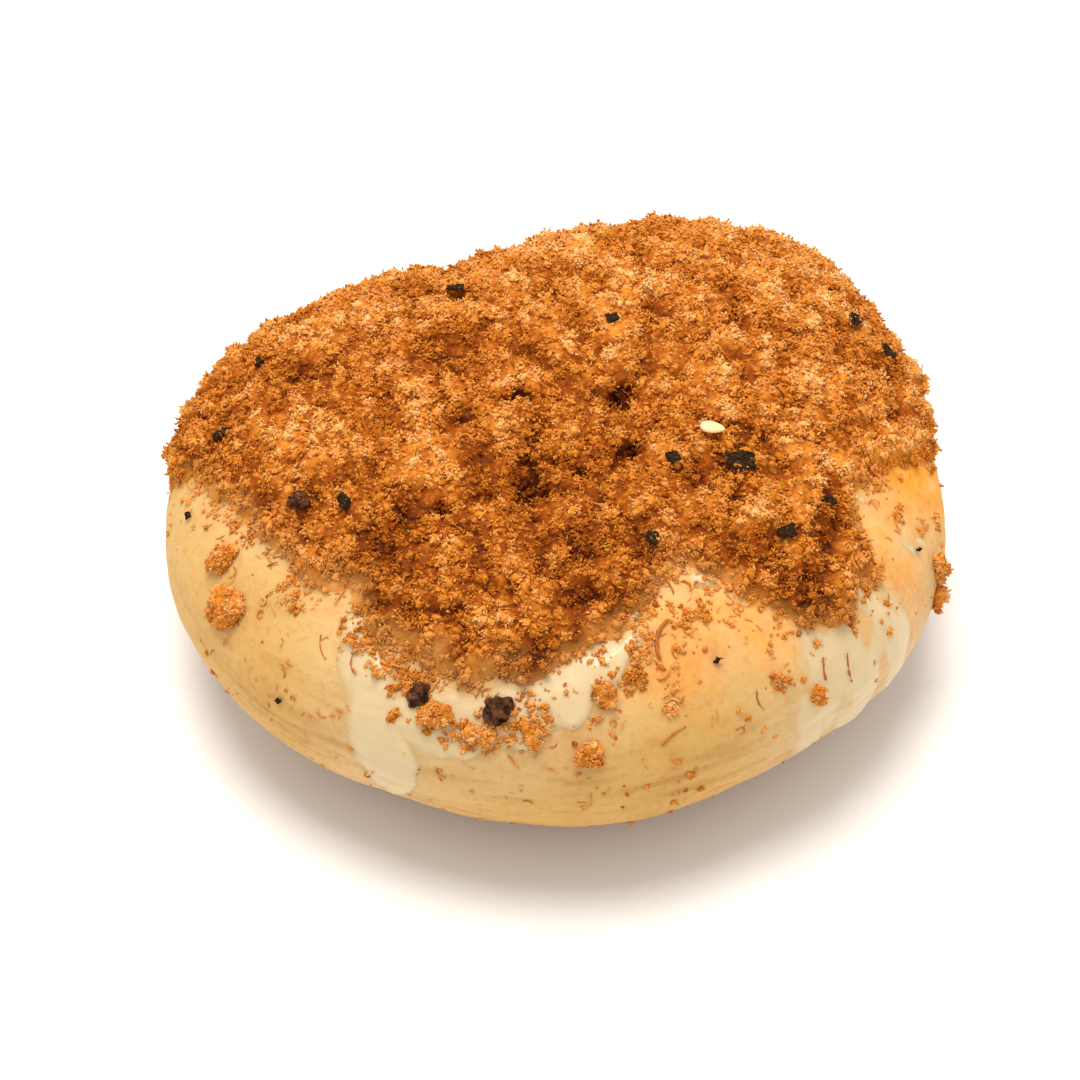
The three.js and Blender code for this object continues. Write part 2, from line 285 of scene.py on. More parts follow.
def used_only(points, quads, attributes):
    """Drops the points that no face uses, and the corners that a face at a pole holds twice."""
    used, renumbered = np.unique(quads, return_inverse=True)
    renumbered = renumbered.reshape(quads.shape).tolist()
    faces = [tuple(dict.fromkeys(corners)) for corners in renumbered]
    return points[used], faces, {key: values[used] for key, values in attributes.items()}


def quads_between(numbers):
    """Corners of the faces between neighbouring rows and columns. The last column meets the first."""
    east = np.roll(numbers, -1, axis=1)
    return np.stack([numbers[:-1], east[:-1], east[1:], numbers[1:]], -1)


def numbered(rows, columns, poles):
    """Vertex numbers of a grid, where each row in poles is one point."""
    numbers = np.arange(rows * columns).reshape(rows, columns)
    for row in poles:
        numbers[row] = numbers[row, 0]
    return numbers


def without_pinches(kept):
    """Fills in where two kept faces would touch only at a corner."""
    while True:
        here, east = kept[:-1], np.roll(kept, -1, axis=1)[:-1]
        north, north_east = kept[1:], np.roll(kept, -1, axis=1)[1:]
        rising = here & north_east & ~east & ~north
        falling = east & north & ~here & ~north_east
        if not (rising.any() or falling.any()):
            return kept
        kept = kept.copy()
        kept[:-1] |= falling
        kept[:-1] |= np.roll(rising, 1, axis=1)


def add_sheet(name, azimuths, latitudes, top_lift, under_lift, kept, **attributes):
    """A closed sheet over the skin: its top, its underside and the walls round the faces it keeps."""
    rows, columns = top_lift.shape
    azimuth, latitude = np.meshgrid(azimuths, latitudes)
    top = over_skin(azimuth, latitude, top_lift).reshape(-1, 3)
    under = over_skin(azimuth, latitude, under_lift).reshape(-1, 3)
    poles = [rows - 1] if latitudes[-1] > POLE - 1e-6 else []
    corners = quads_between(numbered(rows, columns, poles))
    kept = without_pinches(kept)
    below = rows * columns
    nowhere = np.zeros((1, columns), bool)
    neighbours = (
        np.vstack([nowhere, kept[:-1]]),
        np.roll(kept, -1, axis=1),
        np.vstack([kept[1:], nowhere]),
        np.roll(kept, 1, axis=1),
    )
    quads = [corners[kept], corners[kept][:, ::-1] + below]
    for side, neighbour in enumerate(neighbours):
        open_side = kept & ~neighbour
        if side == 2 and poles:
            open_side[-1] = False  # the faces at the pole meet there
        start, end = corners[open_side][:, side], corners[open_side][:, (side + 1) % 4]
        quads.append(np.stack([end, start, start + below, end + below], -1))
    values = {
        key: np.concatenate([array.ravel(), np.zeros(below)]) for key, array in attributes.items()
    }
    points, faces, values = used_only(np.vstack([top, under]), np.vstack(quads), values)
    return add_mesh(name, points, faces, **values)


def worked_copy(node, name, levels, smooth=True):
    """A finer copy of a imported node's mesh, merged, and rounded if smooth."""
    source = frame["nodes"][node].data
    work = bmesh.new()
    work.from_mesh(source)
    bmesh.ops.remove_doubles(work, verts=work.verts, dist=1e-6)
    mesh = bpy.data.meshes.new(name)
    work.to_mesh(mesh)
    work.free()
    mesh.materials.clear()
    piece = bpy.data.objects.new(name, mesh)
    bpy.context.scene.collection.objects.link(piece)
    finer = piece.modifiers.new("finer", "SUBSURF")
    finer.levels = levels
    finer.render_levels = levels
    finer.subdivision_type = "CATMULL_CLARK" if smooth else "SIMPLE"
    bpy.data.meshes.remove(work_in_modifiers(piece))
    piece.data.shade_smooth()
    return piece


def work_in_modifiers(piece):
    """Turns what a piece's modifiers make into its own mesh, and gives back the mesh it had."""
    depsgraph = bpy.context.evaluated_depsgraph_get()
    made = bpy.data.meshes.new_from_object(piece.evaluated_get(depsgraph), depsgraph=depsgraph)
    old = piece.data
    piece.modifiers.clear()
    piece.data = made
    made.name = piece.name
    return old


def vectors_of(piece, kind):
    """The places ("co") or the normals ("normal") of a piece's vertices."""
    flat = np.empty(len(piece.data.vertices) * 3)
    piece.data.vertices.foreach_get(kind, flat)
    return flat.reshape(-1, 3)


def points_of(piece):
    """The places of a piece's vertices, in millimetres."""
    return vectors_of(piece, "co") / MM


def move_points(piece, points):
    """Puts a piece's vertices at places in millimetres."""
    piece.data.vertices.foreach_set("co", (points * MM).ravel())
    piece.data.update()


def keep_numbers(piece, **values):
    """Keeps the same number at every vertex of a piece, for its finish or for scattering."""
    for key, value in values.items():
        layer = piece.data.attributes.get(key) or piece.data.attributes.new(key, "FLOAT", "POINT")
        layer.data.foreach_set("value", np.full(len(piece.data.vertices), value, np.float32))


def settle(piece, slot, finish, *nodes):
    """Puts a made piece on the bagel's one body, with its finish."""
    piece.data.materials.clear()
    piece.data.materials.append(finish)
    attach(piece, BODY)
    if nodes:
        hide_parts(*nodes)


# ---- node trees ----


class Wire:
    """A socket that can stand in an expression on values."""

    def __init__(self, graph, socket):
        self.graph = graph
        self.socket = socket

    def _math(self, operation, first, second):
        return self.graph.node("ShaderNodeMath", {"operation": operation}, {0: first, 1: second})

    def __add__(self, other):
        return self._math("ADD", self, other)

    def __radd__(self, other):
        return self._math("ADD", other, self)

    def __sub__(self, other):
        return self._math("SUBTRACT", self, other)

    def __rsub__(self, other):
        return self._math("SUBTRACT", other, self)

    def __mul__(self, other):
        return self._math("MULTIPLY", self, other)

    def __rmul__(self, other):
        return self._math("MULTIPLY", other, self)

    def __pow__(self, other):
        return self._math("POWER", self, other)


class Graph:
    """Builds a node tree. Each call of node adds one node and gives back one of its outputs."""

    def __init__(self, tree):
        self.tree = tree
        tree.nodes.clear()

    @staticmethod
    def _socket(sockets, key):
        if isinstance(key, int):
            return sockets[key]
        found = [s for s in sockets if s.identifier == key] or [s for s in sockets if s.name == key]
        return found[0]

    def node(self, kind, settings=None, values=None, output=0):
        """Adds a node with its settings first, then its sockets' values or wires."""
        made = self.tree.nodes.new(kind)
        for key, value in (settings or {}).items():
            if key == "stops":
                self._set_stops(made.color_ramp, value)
            else:
                setattr(made, key, value)
        for key, value in (values or {}).items():
            socket = self._socket(made.inputs, key)
            for wire in value if isinstance(value, list) else [value]:
                if isinstance(wire, Wire):
                    self.tree.links.new(wire.socket, socket)
                else:
                    socket.default_value = wire
        return Wire(self, self._socket(made.outputs, output)) if made.outputs else None

    @staticmethod
    def _set_stops(ramp, stops):
        while len(ramp.elements) < len(stops):
            ramp.elements.new(1.0)
        for element, (position, colour) in zip(ramp.elements, stops):
            element.position = position
            element.color = colour

    def mix(self, share, first, second, blend="MIX"):
        """A colour between two colours."""
        return self.node(
            "ShaderNodeMix",
            {"data_type": "RGBA", "blend_type": blend},
            {"Factor_Float": share, "A_Color": first, "B_Color": second},
            "Result_Color",
        )

    def step(self, low, high, value):
        """0 below low and 1 above high, eased between them."""
        return self.node(
            "ShaderNodeMapRange",
            {"interpolation_type": "SMOOTHSTEP"},
            {"Value": value, "From Min": low, "From Max": high},
        )

    def place(self):
        """The object's own coordinates."""
        return self.node("ShaderNodeTexCoord", output="Object")

    def clouds(self, size_mm, detail=2.0, vector=None):
        """Noise from 0 to 1 on the object's own coordinates."""
        return self.node(
            "ShaderNodeTexNoise",
            values={"Vector": vector or self.place(), "Scale": 1 / (size_mm * MM), "Detail": detail},
        )

    def number(self, name):
        """A number that the mesh keeps at its vertices."""
        return self.node("ShaderNodeAttribute", {"attribute_name": name}, output="Fac")

    def bump(self, height, depth_mm):
        """Normals that a height from 0 to 1 tilts, depth_mm deep."""
        values = {"Height": height, "Distance": depth_mm * MM, "Strength": 1.0}
        return self.node("ShaderNodeBump", values=values)


def new_finish(name, build, **constants):
    """A material whose build(graph) gives the sockets that vary, and whose other sockets are constants."""
    finish = bpy.data.materials.new(f"{name}_finish")
    finish.use_nodes = True
    graph = Graph(finish.node_tree)
    values = {key.replace("_", " ").title().replace("Ior", "IOR"): v for key, v in constants.items()}
    values.update(build(graph))
    surface = graph.node("ShaderNodeBsdfPrincipled", values=values)
    graph.node("ShaderNodeOutputMaterial", values={"Surface": surface})
    return finish


# ---- what a user would change ----


def length(name, description, millimetres):
    """A setting that is a length."""
    return bpy.props.FloatProperty(
        name=name, description=description, default=millimetres * MM, min=0, subtype="DISTANCE", precision=5
    )


def colour(name, description, *srgb):
    """A setting that is a colour, from its sRGB bytes."""
    return bpy.props.FloatVectorProperty(
        name=name, description=description, default=tone(*srgb), size=4, min=0, max=1, subtype="COLOR"
    )


class CrustSettings(bpy.types.PropertyGroup):
    """Unevenness and colours of the baked crust"""

    dent_depth: length("Dent Depth", "Depth of the broad dents in the crust", 0.35)
    wrinkle_depth: length("Wrinkle Depth", "Depth of the stretch lines round the foot", 0.2)
    crust: colour("Crust", "Colour of the plain crust", 210, 165, 90)
    # The foot colour is partly browner crust and partly painted shade where the side turns under.
    foot: colour("Foot", "Colour of the crust near the resting surface", 162, 117, 60)
    stained: colour("Stained", "Colour of the crust that oil from the floss has stained", 238, 158, 30)
    glaze: colour("Glaze", "Colour of the crust where the oil lies thickest", 224, 126, 10)
    film: colour("Film", "Colour of the crust under a thin film of cream", 220, 186, 134)
    fleck: colour("Fleck", "Colour of the small burnt flecks", 140, 76, 24)


class CreamSettings(bpy.types.PropertyGroup):
    """Thickness and colours of the cream"""

    thickness: length("Thickness", "Thickness of the cream where it is thick", 0.5)
    cream: colour("Cream", "Colour of thick cream", 216, 190, 144)
    thin: colour("Thin Cream", "Colour of cream that the crust shows through", 208, 172, 116)


class FlossSettings(bpy.types.PropertyGroup):
    """Sizes, numbers and colours of the meat floss"""

    thickness: length("Thickness", "Thickness of the matted floss", 0.8)
    lump_height: length("Lump Height", "Height of the lumps in the floss", 2.6)
    fibre_length: length("Fibre Length", "Length of a fibre", 0.54)
    fibre_width: length("Fibre Width", "Width of a fibre", 0.22)
    crumbs: bpy.props.IntProperty(
        name="Crumbs", description="Crumbs in each of the pieces that the loose floss is split into",
        default=2250, min=1,
    )
    dust: bpy.props.IntProperty(
        name="Dust", description="Small crumbs on the bare crust", default=2000, min=1
    )
    threads: bpy.props.IntProperty(
        name="Threads", description="Single fibres on the bare crust", default=700, min=1
    )
    pieces: bpy.props.IntProperty(
        name="Pieces", description="How many pieces the loose floss is split into", default=7, min=1
    )
    # The deep colour is painted shade in the cracks between the lumps.
    deep: colour("Deep", "Colour in the cracks of the floss", 66, 20, 2)
    brown: colour("Brown", "Colour of the darker floss", 148, 70, 8)
    orange: colour("Orange", "Colour of most of the floss", 220, 136, 44)
    # The pale colour at the fibres' tips is painted light.
    pale: colour("Pale", "Colour of the fibres' tips", 252, 206, 136)
    amber: colour("Amber", "Colour of the thin oily floss at its edge", 226, 136, 36)


class BitSettings(bpy.types.PropertyGroup):
    """Colours of the nori, the crisp chunks and the sesame seed"""

    nori: colour("Nori", "Colour of the nori flakes", 36, 24, 12)
    nori_edge: colour("Nori Edge", "Colour of the nori where it is thin", 78, 54, 26)
    crisp: colour("Crisp", "Colour of the crisp fried chunks", 46, 22, 10)
    crisp_edge: colour("Crisp Edge", "Colour of the crisp chunks' paler sides", 124, 72, 34)
    sesame: colour("Sesame", "Colour of the sesame seed", 250, 226, 170)
    sesame_shadow: colour("Sesame Shadow", "Colour in the seed's dips", 226, 180, 110)


class StageSettings(bpy.types.PropertyGroup):
    """The camera's place, the light and the floor"""

    elevation: bpy.props.FloatProperty(
        name="Elevation", description="Camera's height above the horizon", default=math.radians(46),
        subtype="ANGLE",
    )
    distance: length("Distance", "From the camera to the middle of the bagel", 350)
    key_power: bpy.props.FloatProperty(
        name="Key Power", description="Power of the large soft light", default=4.9, min=0, subtype="POWER"
    )
    sky: bpy.props.FloatProperty(
        name="Sky", description="Strength of the even light from all round", default=0.75, min=0
    )
    floor: colour("Floor", "Colour of the floor", 250, 249, 247)


# ---- bread ----

CRUST_COLUMNS = 360
CRUST_ROWS = 208
PUCKER_FOLDS = 9


def floss_depth(azimuth, latitude, points):
    """Millimetres from the edge of the thick floss, positive inside it. The edge is ragged."""
    edge = np.radians(eased(FLOSS_EDGE, azimuth))
    tongues = 2.4 * swell(points, 7, seed=3, octaves=2)
    tufts = 1.4 * swell(points, 2.4, seed=9, octaves=2)
    return outline_length(latitude) - outline_length(edge) + (tongues + tufts)


def cream_depth(points):
    """Millimetres inside the edge of the nearest stroke of cream, all strokes run together."""
    run_together = 1.1  # how far one stroke draws in the next
    total = np.zeros(points.shape[:-1])
    for stroke in CREAM_STROKES:
        azimuth, latitude, half_width = np.array(stroke).T
        line = over_skin(np.radians(azimuth), np.radians(latitude))
        for start, end, wide, narrow in zip(line[:-1], line[1:], half_width[:-1], half_width[1:]):
            run = end - start
            share = np.clip(((points - start) @ run) / (run @ run), 0, 1)
            away = np.linalg.norm(points - start - share[..., None] * run, axis=-1)
            total += np.exp((wide + (narrow - wide) * share - away) / run_together)
    wobble = 0.7 * swell(points, 4.5, seed=8, octaves=2)
    return run_together * np.log(np.maximum(total, 1e-9)) + wobble


def near_any(places, plain):
    """From 0 to 1, how close each point is to the middle of a place (azimuth, latitude, radius)."""
    near = np.zeros(plain.shape[:-1])
    for azimuth, latitude, radius in places:
        middle = over_skin(math.radians(azimuth), math.radians(latitude))
        away = np.linalg.norm(plain - middle, axis=-1) + 0.5 * swell(plain, 1.3, seed=31)
        near = np.maximum(near, 1 - smooth_step(0.6, 1.1, away / radius))
    return near


def dust_cover(azimuth, latitude, plain):
    """How thick the loose crumbs lie on the crust.

    They lie in patches beside the floss, furthest out on the golden crust at the front, and in the heaps.
    A few stray ones lie anywhere above the foot.
    """
    outside = -floss_depth(azimuth, latitude, plain)
    golden = between((268, 276), (306, 314), np.degrees(azimuth) % 360)
    beside = np.exp(-np.maximum(outside, 0) / (1.6 + 4.4 * golden))
    patchy = smooth_step(-0.25 - 0.3 * golden, 0.45, swell(plain, 3.2, seed=14, octaves=2))
    heaped = 2.2 * near_any(CRUMB_HEAPS, plain)
    stray = 0.006 * smooth_step(4, 16, plain[..., 2])
    return np.maximum(beside * patchy * (outside > -2), heaped) + stray


def thread_cover(azimuth, latitude, plain):
    """How thick the single fibres lie on the crust: beside the floss, furthest out at the front."""
    outside = -floss_depth(azimuth, latitude, plain)
    at_front = between((205, 225), (312, 330), np.degrees(azimuth) % 360)
    beside = np.exp(-np.maximum(outside, 0) / (2.5 + 5 * at_front)) * (outside > -1)
    stray = 0.02 * smooth_step(8, 20, plain[..., 2])
    return beside + stray


def stretch_lines(latitude, plain):
    """Long level wrinkles from about -1 to 1, which are strongest low on the side."""
    drawn_out = plain * np.array([0.22, 0.22, 2.4])
    drawn_out[..., 2] += 2.2 * swell(plain, 16, seed=17)
    low = 1 - smooth_step(math.radians(-5), math.radians(30), latitude)
    return swell(drawn_out, 2.6, seed=2, octaves=2) * (0.25 + low)


def crust_relief(latitude, plain):
    """Dents and stretch lines of the crust in millimetres, which the cream and the floss lie along."""
    settings = bpy.context.scene.bagel_crust
    dents = swell(plain, 24, seed=1, octaves=2) * settings.dent_depth / MM
    lines = stretch_lines(latitude, plain) * settings.wrinkle_depth / MM
    small = swell(plain, 5, seed=5, octaves=2) * 0.05
    return (dents + lines + small) * smooth_step(0.0, 6.0, plain[..., 2])


def skin_marks(azimuth, latitude, plain):
    """What colours the crust at each place, from 0 to 1.

    The stain of oil beside the floss is broadest and strongest to the right. The film of cream goes on
    beyond the cream's edge, and lies beside the floss at the left.
    """
    outside = -floss_depth(azimuth, latitude, plain)
    degrees = np.degrees(azimuth) % 360
    to_right = np.maximum(smooth_step(262, 290, degrees), 1 - smooth_step(20, 50, degrees))
    stain = 1 - smooth_step(0, 1, outside / (8 + 14 * to_right))
    at_left = between((182, 192), (232, 246), degrees)
    beside = at_left * np.exp(-np.maximum(outside, 0) / 5)
    return {
        "stain": stain * (0.3 + 0.7 * to_right),
        "film": np.maximum(smooth_step(-10, 2, cream_depth(plain)), 0.8 * beside),
        # Low on the side the crust is painted darker: partly browner crust, partly painted shade.
        "foot": 1 - smooth_step(2, 16, plain[..., 2]),
        # Painted shade in the grooves of the stretch lines.
        "crease": smooth_step(0.05, 0.5, -stretch_lines(latitude, plain)),
    }


def crust_shade(graph):
    """The crust's colour, which goes on under the thin edges of the cream and the floss.

    From the bottom up: crust and its darker foot (partly browner crust, partly painted shade), oil stains
    and pools, film of cream, mottle and painted shade in the creases, flecks.
    """
    settings = bpy.context.scene.bagel_crust
    mottle, fine = graph.clouds(9, detail=3), graph.clouds(1.1, detail=3)
    stain, film, foot = graph.number("stain"), graph.number("film"), graph.number("foot")
    # Darker towards the foot: partly browner crust, partly painted shade.
    shade = graph.mix(foot * 0.9, tuple(settings.crust), tuple(settings.foot))
    shade = graph.mix(graph.step(0.1, 0.8, stain * (0.5 + mottle)), shade, tuple(settings.stained))
    pools = graph.clouds(3.4, detail=4)
    shade = graph.mix(graph.step(0.5, 0.66, pools) * stain * 0.55, shade, tuple(settings.glaze))
    shade = graph.mix(graph.step(0.5, 0.3, pools) * (stain * 0.3 + 0.12), shade, tuple(settings.film))
    drawn_down = graph.node(
        "ShaderNodeVectorMath", {"operation": "MULTIPLY"}, {0: graph.place(), 1: (1.0, 1.0, 0.25)}
    )
    streaks = graph.clouds(2.2, detail=3, vector=drawn_down)
    shade = graph.mix(film * (0.15 + 0.75 * streaks), shade, tuple(settings.film))
    darker = graph.step(0.48, 0.75, mottle) * 0.4 + graph.step(0.48, 0.7, fine) * 0.3
    # The mottle is the crust's own uneven colour; the grooves of the stretch lines get painted shade.
    darker = darker + graph.number("crease") * 0.45
    shade = graph.mix(darker, shade, graph.mix(1.0, shade, (0.78, 0.62, 0.42, 1), "MULTIPLY"))
    flecks = graph.node("ShaderNodeTexVoronoi", values={"Vector": graph.place(), "Scale": 1 / (2.4 * MM)})
    fleck = (1 - graph.step(0.04, 0.13, flecks)) * graph.step(0.3, 0.9, stain + mottle * 0.4)
    return graph.mix(fleck * 0.7, shade, tuple(settings.fleck))


def crust_finish():
    """Matt baked crust with fine pores, which shines a little under the film of cream."""
    def build(graph):
        fine, pores, film = graph.clouds(1.1, detail=3), graph.clouds(0.35), graph.number("film")
        return {
            "Base Color": crust_shade(graph),
            "Roughness": 0.6 - film * 0.2 + fine * 0.1,
            "Normal": graph.bump(fine * 0.7 + pores * 0.3, depth_mm=0.2),
        }

    return new_finish(
        "crust", build, subsurface_weight=0.3, subsurface_radius=(1.0, 0.55, 0.25),
        subsurface_scale=0.002, specular_ior_level=0.35,
    )


def bake_crust():
    """The bread in one solid, with dents, stretch lines and the pucker under it."""
    azimuth, latitude = np.meshgrid(all_round(CRUST_COLUMNS), even_latitudes(CRUST_ROWS, -90, 90))
    plain = over_skin(azimuth, latitude)
    points = over_skin(azimuth, latitude, crust_relief(latitude, plain))
    from_axis = np.hypot(points[..., 0] - SHIFT[0], points[..., 1] - SHIFT[1])
    pucker = PUCKER_DEPTH * (1 - np.minimum(1, from_axis / PUCKER_RADIUS) ** 2) ** 2
    swirl = PUCKER_FOLDS * azimuth + 0.25 * from_axis
    folds = 1 + 0.18 * np.sin(swirl) * np.minimum(1, from_axis / 3)
    points[..., 2] += np.where(latitude < 0, pucker * folds, 0)
    points[..., 2] = np.maximum(points[..., 2], 0)
    values = skin_marks(azimuth, latitude, plain)
    values["dust"] = dust_cover(azimuth, latitude, plain) * (cream_depth(plain) < 0.5)
    values["threads"] = thread_cover(azimuth, latitude, plain)
    values = {key: array.ravel() for key, array in values.items()}
    numbers = numbered(CRUST_ROWS, CRUST_COLUMNS, [0, CRUST_ROWS - 1])
    quads = quads_between(numbers).reshape(-1, 4)
    points, faces, values = used_only(points.reshape(-1, 3), quads, values)
    bread = add_mesh("bread", points, faces, **values)
    settle(bread, "crust", crust_finish(), "bagel_bread")


# ---- cream ----

CREAM_COLUMNS = 330
CREAM_ROWS = 150
CREAM_RANGE = (222, 352)  # azimuths in degrees
CREAM_LATITUDES = (-24, 62)
CREAM_FADE = 5.0  # from the cream's edge to its full thickness
CREAM_EDGE_LIFT = -0.12
CREAM_UNDERSIDE = -0.8


def cream_finish(settings):
    """Thick cream, through thin cream, to the crust that shows at its edge."""
    def build(graph):
        thick, cloudy, fine = graph.number("thick"), graph.clouds(4, detail=3), graph.clouds(1.2)
        share = graph.step(0.0, 1.0, thick * 1.3 + cloudy * 0.6 - 0.45)
        shade = graph.mix(graph.step(0.3, 1.0, share), tuple(settings.thin), tuple(settings.cream))
        return {
            "Base Color": graph.mix(graph.step(0.0, 0.7, share), crust_shade(graph), shade),
            "Roughness": 0.42 - share * 0.16 + fine * 0.12,
            "Normal": graph.bump(fine, depth_mm=0.07),
        }

    return new_finish(
        "cream", build, subsurface_weight=0.4, subsurface_radius=(1.0, 0.7, 0.4),
        subsurface_scale=0.0016, specular_ior_level=0.45,
    )


def cream_fade(degrees, plain, depth):
    """Millimetres over which the cream thins out. The patches and the run's lower right have steep edges."""
    sinking = -np.gradient(depth, axis=1) / np.linalg.norm(np.gradient(plain, axis=1), axis=-1)
    steep = smooth_step(0.1, 0.7, sinking) * (1 - smooth_step(280, 300, degrees))
    in_patch = np.maximum(between((279, 284), (302, 306), degrees), smooth_step(334, 338, degrees))
    return CREAM_FADE - np.maximum(3.6 * steep, 3.0 * in_patch)


def spread_cream(settings):
    """The run at the front left, the smear at the right, worn in streaks, and the patches between."""
    azimuths = np.radians(np.linspace(*CREAM_RANGE, CREAM_COLUMNS))
    latitudes = even_latitudes(CREAM_ROWS, *CREAM_LATITUDES)
    azimuth, latitude = np.meshgrid(azimuths, latitudes)
    plain = over_skin(azimuth, latitude)
    depth = cream_depth(plain)
    degrees = np.degrees(azimuth)
    fade = cream_fade(degrees, plain, depth)
    share = smooth_step(0, 1, depth / fade)
    thickness = settings.thickness / MM
    streaked = swell(plain * np.array([1.6, 1.6, 0.3]), 2.0, seed=4, octaves=2)
    uneven = 0.16 * swell(plain, 6, seed=6, octaves=2) + 0.08 * streaked
    relief = crust_relief(latitude, plain)
    lift = relief + CREAM_EDGE_LIFT + share * (thickness - CREAM_EDGE_LIFT + uneven)
    east = np.roll(depth, -1, axis=1)
    kept = np.maximum.reduce([depth[:-1], depth[1:], east[:-1], east[1:]]) > -0.3
    kept[:, -1] = False
    worn = smooth_step(0.0, 0.6, swell(plain * np.array([1.3, 1.3, 0.4]), 4.5, seed=16, octaves=2))
    thick = smooth_step(-0.2, 1, depth / fade) * (1 - 0.55 * worn * smooth_step(295, 305, degrees))
    cream = add_sheet(
        "cream", azimuths, latitudes, lift, relief + CREAM_UNDERSIDE, kept,
        thick=thick,
        dust=dust_cover(azimuth, latitude, plain),
        **skin_marks(azimuth, latitude, plain),
    )
    settle(cream, "cream", cream_finish(settings), "cream_spread")


# ---- floss ----

BED_COLUMNS = 370
BED_ROWS = 120
BED_LATITUDES = (-8, 90)
BED_FADE = 5.0  # from the floss's edge to its full thickness
HIDDEN_LIFT = -0.4  # the floss's edge dips this far into the bread
SLIT_SAG = 0.9
HOLLOW_DEPTH = 1.3


def floss_finish(settings):
    """From dark cracks through amber to pale tips. The thin edge of the floss lets the crust show."""
    def build(graph):
        high, tip, own = graph.number("high"), graph.number("tip"), graph.number("shade")
        patches, fine, grain = graph.clouds(6, detail=3), graph.clouds(0.6), graph.clouds(0.25)
        # high paints light on the lumps' tops and shade in the cracks, the hollows and the slit; tip paints
        # the crumbs' ends paler.
        value = high * 0.5 + tip * 0.24 + own * 0.22 + patches * 0.62 + fine * 0.44 - 0.5
        stops = [
            (0.0, tuple(settings.deep)),
            (0.26, tuple(settings.brown)),
            (0.54, tuple(settings.orange)),
            (0.92, tuple(settings.pale)),
        ]
        shade = graph.node("ShaderNodeValToRGB", {"stops": stops}, {"Fac": value})
        amber = graph.mix(graph.clouds(2.5, detail=3), tuple(settings.amber), crust_shade(graph))
        return {
            "Base Color": graph.mix(graph.number("thin") * 0.9, shade, amber),
            "Roughness": 0.6 + fine * 0.2,
            "Normal": graph.bump(fine * 0.6 + grain * 0.4, depth_mm=0.14),
        }

    return new_finish("floss", build, specular_ior_level=0.08)


def floss_lumps(plain):
    """The large lumps, the small lumps and the broad swells of the matted floss."""
    bent = plain + 0.9 * np.stack([swell(plain, 3.5, seed=each) for each in (21, 22, 23)], -1)
    return lumps(bent, 5.0, seed=1), lumps(bent, 2.2, seed=2), swell(plain, 13, seed=7, octaves=2)


def lay_floss_bed(settings):
    """The matted floss that the loose crumbs stand on, lumpy, with hollows and a browner front left."""
    azimuths = all_round(BED_COLUMNS)
    latitudes = even_latitudes(BED_ROWS, *BED_LATITUDES)
    azimuth, latitude = np.meshgrid(azimuths, latitudes)
    plain = over_skin(azimuth, latitude)
    depth = floss_depth(azimuth, latitude, plain)
    in_floss = smooth_step(0, BED_FADE, depth)
    large, small, broad = floss_lumps(plain)
    relief = 0.55 * large + 0.3 * small + 0.35 * broad
    sunk = slit_depth(plain - np.append(SHIFT, 0)) / SLIT_DEPTH
    pit = near_any(HOLLOWS, plain)
    lift = HIDDEN_LIFT + in_floss * (settings.thickness / MM - HIDDEN_LIFT)
    lift = lift + relief * np.sqrt(in_floss) * settings.lump_height / MM
    lift = lift - SLIT_SAG * sunk**2 - HOLLOW_DEPTH * pit
    crust = crust_relief(latitude, plain)
    # Painted light on the lumps' tops, painted shade in the cracks between them and in the slit's dip.
    high = np.clip(0.45 * large + 0.35 * small + 0.25 * broad + 0.1, 0, 1) * (1 - 0.6 * sunk**2)
    # Darker towards the front and towards the left.
    darker_front_left = 0.25 * smooth_step(5, 42, -plain[..., 1]) + 0.15 * smooth_step(15, 48, -plain[..., 0])
    # Painted shade in the hollows.
    high = (high - darker_front_left) * (1 - pit) - 0.35 * pit
    kept = np.maximum(depth[:-1], depth[1:]) > -0.6
    bare = swell(plain, 9, seed=12) + 0.7 * swell(plain, 2.6, seed=13)
    thick = high + darker_front_left + 0.3 - 0.5 * bare + 0.6 * pit
    cover = smooth_step(-0.8, 2.5, depth) * smooth_step(0.1, 0.45, thick)
    bed = add_sheet(
        "floss_bed", azimuths, latitudes, lift + crust, crust + 2 * HIDDEN_LIFT, kept,
        high=high,
        cover=cover,
        thin=1 - smooth_step(0.5, BED_FADE, depth),
        **skin_marks(azimuth, latitude, plain),
    )
    settle(bed, "floss", floss_finish(settings), "floss_topping")


THIRDS = (0, 2 * math.pi / 3, 4 * math.pi / 3)
CRUMB_FIBRES = 9
THREAD_REACH = 2.2


def fibre(start, heading, reach, width):
    """A closed bent fibre of six faces, in millimetres: its corners and faces."""
    bend = np.cross(heading, (0.31, -0.52, 0.8))
    bend = bend / np.linalg.norm(bend)
    middle = start + heading * reach * 0.45 + bend * reach * 0.16
    end = start + heading * reach * 0.85 - bend * reach * 0.12
    along = (end - start) / np.linalg.norm(end - start)
    side = np.cross(along, (0.3, 0.5, 0.81))
    side = side / np.linalg.norm(side)
    third = np.cross(along, side)
    ring = [middle + (side * math.cos(turn) + third * math.sin(turn)) * width / 2 for turn in THIRDS]
    faces = [(0, 2, 1), (0, 3, 2), (0, 1, 3), (1, 2, 4), (2, 3, 4), (3, 1, 4)]
    return [start, *ring, end], faces


